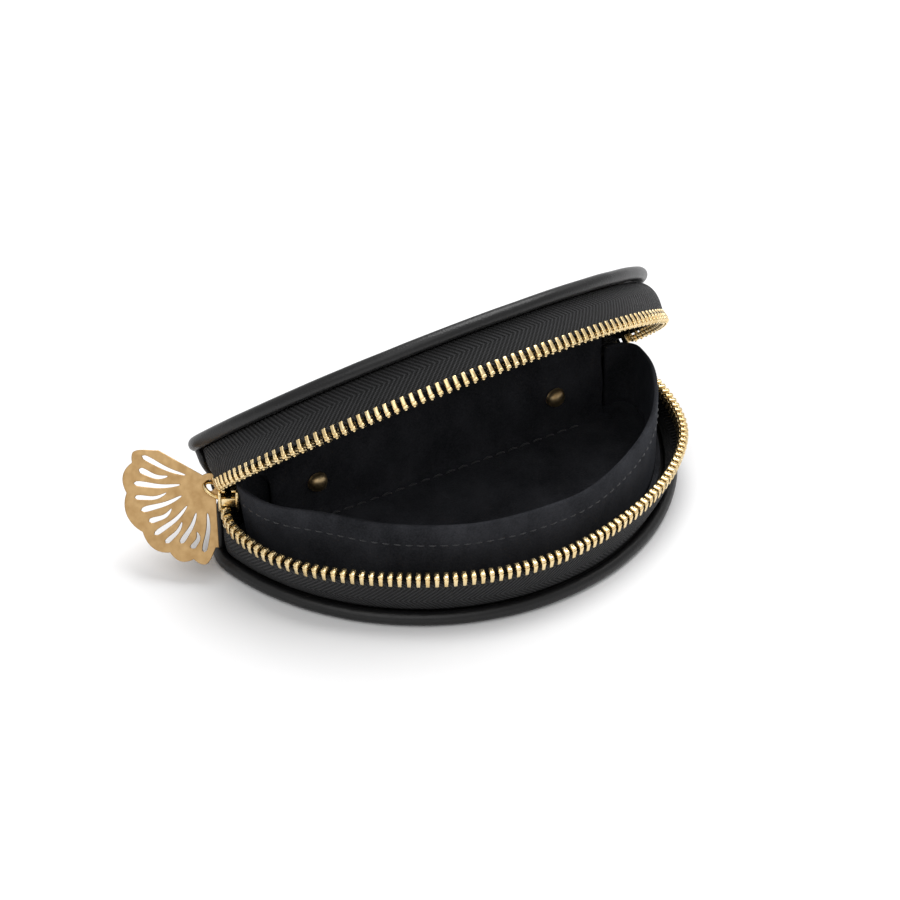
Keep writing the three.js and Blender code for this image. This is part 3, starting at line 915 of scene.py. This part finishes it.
def lid_point(x, y, z):
    """Where a point of the lid's half is with the lid open, in millimetres. x is as seen."""
    return np.array(LID.place @ (Vector((-x, y, z)) * MM)) / MM


def round_corner(along, y, z):
    """Point of a sheet that runs along the back and turns round the corners at its ends."""
    past = max(0.0, abs(along) - SPINE_TURN_X)
    reach = y - SPINE_TURN_Y
    turn = past / (SPINE_Y - SPINE_TURN_Y)
    x = min(abs(along), SPINE_TURN_X) + reach * math.sin(turn)
    return math.copysign(x, along), SPINE_TURN_Y + reach * math.cos(turn), z


def smooth_line(points, count):
    """Catmull-Rom curve through points, resampled evenly."""
    points = np.asarray(points, float)
    padded = np.vstack([2 * points[0] - points[1], points, 2 * points[-1] - points[-2]])
    fine = []
    for i in range(1, len(padded) - 2):
        a, b, c, d = padded[i - 1:i + 3]
        for t in np.linspace(0, 1, 12, endpoint=False):
            fine.append(0.5 * ((2 * b) + (c - a) * t + (2 * a - 5 * b + 4 * c - d) * t * t
                               + (3 * b - a - 3 * c + d) * t ** 3))
    fine.append(points[-1])
    fine = np.array(fine)
    reach = np.concatenate([[0], np.cumsum(np.linalg.norm(np.diff(fine, axis=0), axis=1))])
    even = np.linspace(0, reach[-1], count)
    return np.column_stack([np.interp(even, reach, fine[:, k]) for k in range(3)])


def hinge_sheet(name, half_width, thickness, guide):
    """Sheet that runs from the base up the back and over into the lid. guide gives its line
    for an x; the thickness lies towards the outside of the purse."""
    front = []
    back = []
    for x in np.linspace(-half_width, half_width, HINGE_COLUMNS):
        line = smooth_line(guide(x), HINGE_ROWS)
        step = np.gradient(line, axis=0)
        normal = np.column_stack([np.zeros(HINGE_ROWS), step[:, 2], -step[:, 1]])
        normal /= np.linalg.norm(normal, axis=1)[:, None]
        edge = 1 - max(0.0, abs(x) - half_width + 0.5)
        front.append(line)
        back.append(line + normal * thickness * edge)
    sections = [np.vstack([f, b[::-1]]) for f, b in zip(front, back)]
    return loft(name, sections)


def spine_line(along):
    """Line of the spine from the base's panel over the fold to the lid's."""
    puff = ripple((along, 0, 0), 14.0, 0.35, 7.0)
    foot = [round_corner(along, SPINE_Y - depth, z) for depth, z in SPINE_FOOT]
    head = [lid_point(*round_corner(along, SPINE_Y - depth, z)) for depth, z in SPINE_HEAD]
    fold = lid_point(*round_corner(along, SPINE_Y + 0.2 + puff, 10.2))
    low = round_corner(along, SPINE_Y + 0.5 + puff, 14.2)
    return foot + [low, tuple(fold)] + head


def wrap_top(half, past):
    """Height of a wrap's edge, which slopes away on the lid."""
    if half.side > 0:
        return half.seam - 1.4
    return 10.6 - 4.4 * eased((past - 6) / 8)


def corner_wraps(half):
    """Leather strips that carry the spine round the back corners of one half."""
    for side, word in ((-1, "left"), (1, "right")):
        sections = []
        for past in np.linspace(WRAP_START, WRAP_END, WRAP_COLUMNS):
            along = side * half.side * (SPINE_TURN_X + past)
            shrink = 1 - 0.7 * eased((past - WRAP_END + WRAP_THIN) / WRAP_THIN) ** 2
            bar = rounded_bar(2.4, wrap_top(half, past), WRAP_T / 2, -WRAP_T / 2)
            sections.append([round_corner(along, SPINE_Y - 1.5 + reach * shrink, z)
                             for reach, z in bar])
        wrap = loft(f"{half.prefix}_corner_{word}", sections, place=half.place)
        finish_piece(wrap, half.body, LEATHER)


def lining_line(x):
    """Line of the back lining from the floor up the back and into the lid's roof."""
    sag = ripple((x, 4, 0), 12.0, 0.45, 9.0)
    low = LINING_Y - 0.7
    wide = x * (1.0 if x > 0 else 0.965)
    foot = [(wide, low - 1.6, FLOOR_Z - 0.1), (wide, low - 0.3, FLOOR_Z + 0.5),
            (wide, low + 0.1 + sag * 0.4, 7), (wide, low, RIVET_Z), (wide, low + 0.9 + sag, 15.8)]
    head = [lid_point(1.05 * x, LINING_Y - 0.6, 11.0), lid_point(1.1 * x, LINING_Y - 0.2 + sag, 8),
            lid_point(1.1 * x, LINING_Y - 0.4, 5), lid_point(1.1 * x, LINING_Y - 2, FLOOR_Z + 0.2)]
    return foot + [tuple(point) for point in head]


def hinge_pieces():
    """The spine and its lining, each one piece that bends between the base and the lid."""
    spine = hinge_sheet("spine_leather", SPINE_HALF, 1.0, spine_line)
    spine.data.materials.append(LEATHER)
    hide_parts("spine_lower", "spine_upper")
    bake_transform(spine)
    back = hinge_sheet("back_lining", LINING_HALF, 0.65, lining_line)
    back.data.materials.append(SUEDE)
    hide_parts("back_lining_lower", "back_lining_upper")
    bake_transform(back)


def back_stitches():
    """Stitching that holds the back lining to the floor."""
    line = [(x, LINING_Y - 3.2, FLOOR_Z + 0.12) for x in np.linspace(-34, 38, 60)]
    normals = [(0, 0, 1)] * len(line)
    stitch_run("back_stitches", line, normals, BACK_STITCH)


def lathe(name, profile, x, y, z):
    """Solid turned about a line along Y through a point; the profile is [radius, depth]."""
    sections = []
    for i in range(LATHE_STEPS):
        angle = math.tau * i / LATHE_STEPS
        sections.append([(x + max(r, LATHE_AXIS_R) * math.cos(angle), y + d,
                          z + max(r, LATHE_AXIS_R) * math.sin(angle)) for r, d in profile])
    return loft(name, sections, looped=True)


def rivets():
    """Domed rivets with a fine rolled lip, and flat caps outside."""
    face = LINING_Y - 0.7
    dome = []
    for i in range(13):
        angle = math.radians(90 * i / 12)
        dome.append((DOME_R * math.sin(angle), -0.3 - DOME_RISE * math.cos(angle)))
    dome += [(RIVET_R, -0.22), (RIVET_R, -0.02), (2.1, 0.08), (0.9, 0.1), (0.9, 8.6), (0, 8.6)]
    cap = [(0, 0.0), (2.0, 0.0), (2.2, 0.12), (2.2, 0.35), (2.0, 0.5), (1.0, 0.58), (0, 0.6)]
    for side, word in ((-1, "left"), (1, "right")):
        head = lathe(f"rivet_dome_{word}", dome, side * RIVET_X, face, RIVET_Z)
        finish_piece(head, "base", ANTIQUE, [f"rivet_{word}"])
        outer = lathe(f"rivet_cap_{word}", cap, side * RIVET_X, SPINE_Y + 0.2, RIVET_Z)
        finish_piece(outer, "base", ANTIQUE, [f"rivet_washer_{word}"])


# ---------------- slider and pull


def slider_place():
    """Matrix from the slider's own frame: X towards the open teeth, Y outwards, Z down."""
    outward = Vector((math.cos(SLIDER_TURN), math.sin(SLIDER_TURN), 0))
    along = Vector((-math.sin(SLIDER_TURN), math.cos(SLIDER_TURN), 0))
    turn = Matrix((along, outward, along.cross(outward))).transposed().to_4x4()
    return Matrix.Translation(Vector((*SLIDER_AT, BASE_SEAM + LEFT_RISE)) * MM) @ turn


def slider_outline():
    """Half-width of the plate at distances along it, as a closed loop."""
    nose = SLIDER_LENGTH / 2
    wide = SLIDER_NOSE / 2
    slim = SLIDER_TAIL / 2
    side = [(-nose, slim - 0.5), (-nose + 0.5, slim), (-1.6, slim + 0.15), (0.2, wide - 0.35),
            (1.6, wide), (nose - 1.0, wide), (nose - 0.2, wide - 0.7), (nose, wide - 1.5)]
    return side + [(x, -z) for x, z in reversed(side)]


def plate(work, near, far):
    """Slider plate between two depths, as a bevelled prism."""
    loop = slider_outline()
    low = [work.verts.new((x, near, z)) for x, z in loop]
    high = [work.verts.new((x, far, z)) for x, z in loop]
    count = len(loop)
    made = [work.faces.new(low), work.faces.new(high[::-1])]
    for i in range(count):
        k = (i + 1) % count
        made.append(work.faces.new((low[i], high[i], high[k], low[k])))
    bmesh.ops.recalc_face_normals(work, faces=made)
    rims = [e for e in work.edges if len({v.co.y for v in e.verts}) == 1
            and e.verts[0] in low + high]
    bmesh.ops.bevel(work, geom=rims, offset=0.2, segments=2, affect="EDGES", profile=0.6)


def slider():
    """Two plates whose flanges hold the teeth, joined by a bridge at the open end."""
    work = bmesh.new()
    inner = SLIDER_SLOT / 2
    plate(work, inner, inner + PLATE_T)
    plate(work, -inner - PLATE_T, -inner)
    for depth in (inner, -inner):
        for side in (-1, 1):
            centre = (-0.8, depth - math.copysign(0.35, depth), side * (SLIDER_TAIL / 2 - 0.1))
            bevelled_box(work, PLATE_FLANGE, centre, 0.14)
    bevelled_box(work, SLIDER_BRIDGE, (SLIDER_LENGTH / 2 - 1.5, 0, 0), 0.25)
    body = make_mesh("zip_slider", *shape_of(work), slider_place())
    finish_piece(body, "slider", BRASS, ["slider_body"])


def tube(name, path, radius, place):
    """Round wire along a path."""
    path = np.asarray(path, float)
    step = np.gradient(path, axis=0)
    sections = []
    for point, ahead in zip(path, step):
        ahead = ahead / np.linalg.norm(ahead)
        across = np.cross(ahead, (0.3, 0.2, 1.0))
        across /= np.linalg.norm(across)
        third = np.cross(ahead, across)
        sections.append([point + radius * (across * math.cos(a) + third * math.sin(a))
                         for a in np.linspace(0, math.tau, WIRE_SIDES, endpoint=False)])
    return loft(name, sections, place=place)


def bail():
    """Wire loop on the slider's outer plate, leaning up towards the pull."""
    foot = SLIDER_SLOT / 2 + PLATE_T - 0.1
    path = []
    for i in range(BAIL_STEPS + 1):
        angle = math.pi * i / BAIL_STEPS
        share = math.sin(angle) ** 0.7
        path.append((-BAIL_HALF * math.cos(angle), foot + BAIL_RISE * share, -0.9 - 1.8 * share))
    wire = tube("slider_loop", path, BAIL_R, slider_place())
    finish_piece(wire, "slider", BRASS, ["slider_bail"])


def charm_place():
    """Matrix from the flat fan, with its eye at the origin, to where the pull hangs."""
    side = Vector((-math.sin(CHARM_FACE), math.cos(CHARM_FACE), 0))
    facing = Vector((math.cos(CHARM_FACE) * math.sin(CHARM_LEAN),
                     math.sin(CHARM_FACE) * math.sin(CHARM_LEAN), math.cos(CHARM_LEAN)))
    up = facing.cross(side)
    turn = Matrix((side, up, facing)).transposed().to_4x4()
    return Matrix.Translation(CHARM_EYE * MM) @ turn @ Matrix.Rotation(CHARM_TURN, 4, "Z")


def fan_reach(angle):
    """Distance of the fan's edge from its eye: soft, uneven scallops."""
    share = 0.5 + angle / CHARM_SPREAD / 2
    lobe = abs(math.sin(6 * math.pi * share + 0.8 * math.sin(7 * share)))
    sag = 0.7 * math.sin(5.3 * share + 0.6)
    return CHARM_R - 1.2 + 1.1 * lobe ** 0.9 + sag + 1.7 * math.cos(angle / CHARM_SPREAD * 1.5)


def fan_edge():
    """Outline of the pull: the scalloped fan, then the tab round its eye."""
    points = []
    for angle in np.linspace(-CHARM_SPREAD, CHARM_SPREAD, 141):
        shoulder = eased((CHARM_SPREAD - abs(angle)) / 0.2)
        radius = fan_reach(angle) * (0.82 + 0.18 * shoulder)
        points.append((radius * math.cos(angle), radius * math.sin(angle)))
    side = CHARM_SPREAD + CHARM_TAB_GAP
    for angle in np.linspace(side, math.tau - side, 25):
        points.append((CHARM_TAB_R * math.cos(angle), CHARM_TAB_R * math.sin(angle)))
    return points


def fan_slot(angle, near, far, width, bend):
    """Drop-shaped slot along a ray, round at both ends and swept sideways like a leaf vein."""
    left = []
    right = []
    for share in np.linspace(0, 1, 17):
        reach = near + (far - near) * share
        turn = angle + bend * (math.sin(math.pi * share) + 0.35 * math.sin(math.tau * share))
        round_end = math.sqrt(max(0.0, 1 - (2 * share - 1) ** 6))
        girth = width * (0.45 + 0.55 * share) * round_end
        x = reach * math.cos(turn)
        y = reach * math.sin(turn)
        left.append((x - girth * math.sin(turn), y + girth * math.cos(turn)))
        right.append((x + girth * math.sin(turn), y - girth * math.cos(turn)))
    return left + right[-2:0:-1]


def fan_slots():
    rng = random.Random(4)
    slots = []
    for i in range(CHARM_SLOTS):
        angle = (i / (CHARM_SLOTS - 1) - 0.5) * 2 * (CHARM_SPREAD - 0.2) - 0.02
        near = (5.6 if i % 2 == 0 else 9.6) + rng.uniform(-0.6, 0.8)
        far = fan_reach(angle) - 1.7 - rng.uniform(0, 1.5)
        slots.append(fan_slot(angle, near, far, rng.uniform(0.7, 0.9), rng.uniform(0.035, 0.055)))
    return slots


def charm():
    """The pull: a pierced plate with rounded edges, from a filled flat curve."""
    curve = bpy.data.curves.new("fan", "CURVE")
    curve.dimensions = "2D"
    curve.fill_mode = "BOTH"
    curve.extrude = CHARM_HALF_T * MM
    curve.bevel_depth = CHARM_BEVEL * MM
    curve.bevel_resolution = 2
    eye = [(CHARM_EYE_R * math.cos(a), CHARM_EYE_R * math.sin(a))
           for a in np.linspace(0, math.tau, 24, False)]
    for loop in [fan_edge(), eye] + fan_slots():
        spline = curve.splines.new("POLY")
        spline.points.add(len(loop) - 1)
        for point, (x, y) in zip(spline.points, loop):
            point.co = (x * MM, y * MM, 0, 1)
        spline.use_cyclic_u = True
    flat = add_object("fan_curve", curve)
    graph = bpy.context.evaluated_depsgraph_get()
    mesh = bpy.data.meshes.new_from_object(flat.evaluated_get(graph))
    bpy.data.objects.remove(flat)
    mesh.transform(charm_place())
    fan = add_object("fan_pull", mesh)
    finish_piece(fan, "pull", CHARM, ["pull_charm"])


# ---------------- scene


CAMERA_AZIMUTH = -30.66
CAMERA_ELEVATION = 36.97
CAMERA_DISTANCE = 0.781
CAMERA_SENSOR = 36.0
CAMERA_LENS = 136.0
CAMERA_TARGET = Vector((0.00837, 0.03028, 0.0))
WORLD_STRENGTH = 0.6
FLOOR_HALF = 6.0
FLOOR_DROP = 0.00005  # keeps the floor just clear of the purse


def aim(obj, azimuth, elevation, distance, target=Vector()):
    """Puts a camera or light round a target, looking at it; azimuth 0 is in front."""
    az = math.radians(azimuth)
    el = math.radians(elevation)
    away = Vector((math.sin(az) * math.cos(el), -math.cos(az) * math.cos(el), math.sin(el)))
    obj.location = target + away * distance
    obj.rotation_euler = away.to_track_quat("Z", "Y").to_euler()


def make_camera():
    data = bpy.data.cameras.new("camera")
    data.sensor_width = CAMERA_SENSOR
    data.lens = CAMERA_LENS
    data.clip_start = 0.05
    data.clip_end = 20
    obj = add_object("camera", data)
    aim(obj, CAMERA_AZIMUTH, CAMERA_ELEVATION, CAMERA_DISTANCE, CAMERA_TARGET)
    bpy.context.scene.camera = obj


def area_light(name, size, power, azimuth, elevation, distance):
    data = bpy.data.lights.new(name, "AREA")
    data.shape = "DISK"
    data.size = size
    data.energy = power
    aim(add_object(name, data), azimuth, elevation, distance)


def make_studio():
    """White surroundings, two large soft lights and a pale floor."""
    world = bpy.data.worlds.new("studio")
    world.use_nodes = True
    sky = world.node_tree.nodes["Background"]
    sky.inputs["Color"].default_value = (1, 1, 1, 1)
    sky.inputs["Strength"].default_value = WORLD_STRENGTH
    bpy.context.scene.world = world
    bpy.context.scene.view_settings.view_transform = "Standard"
    area_light("key", 1.2, 18, 125, 66, 1.5)
    area_light("fill", 1.6, 7, -50, 55, 1.8)
    corners = [(x * FLOOR_HALF, y * FLOOR_HALF, 0) for x, y in ((-1, -1), (1, -1), (1, 1), (-1, 1))]
    mesh = bpy.data.meshes.new("floor")
    mesh.from_pydata(corners, [], [(0, 1, 2, 3)])
    mesh.materials.append(floor_material())
    floor = add_object("floor", mesh)
    floor.location.z = -FLOOR_DROP


make_camera()
make_studio()

leather_shell(BASE, "base_leather", ["base_cover", "base_piping"])
leather_shell(LID, "lid_leather", ["lid_cover", "lid_piping"])
for board_name in ("base_board", "lid_board"):
    frame["nodes"][board_name].data.materials.clear()
    frame["nodes"][board_name].data.materials.append(BOARD)
panel_lining(BASE, "floor_lining")
panel_lining(LID, "roof_lining")
inner_wall()
collar_stitches()
lid_wall()
hinge_pieces()
back_stitches()
rivets()
corner_wraps(BASE)
corner_wraps(LID)
for purse_half in (BASE, LID):
    zip_tape(purse_half)
    teeth(purse_half)
    end_stops(purse_half)
slider()
bail()
charm()

bpy.context.view_layer.update()
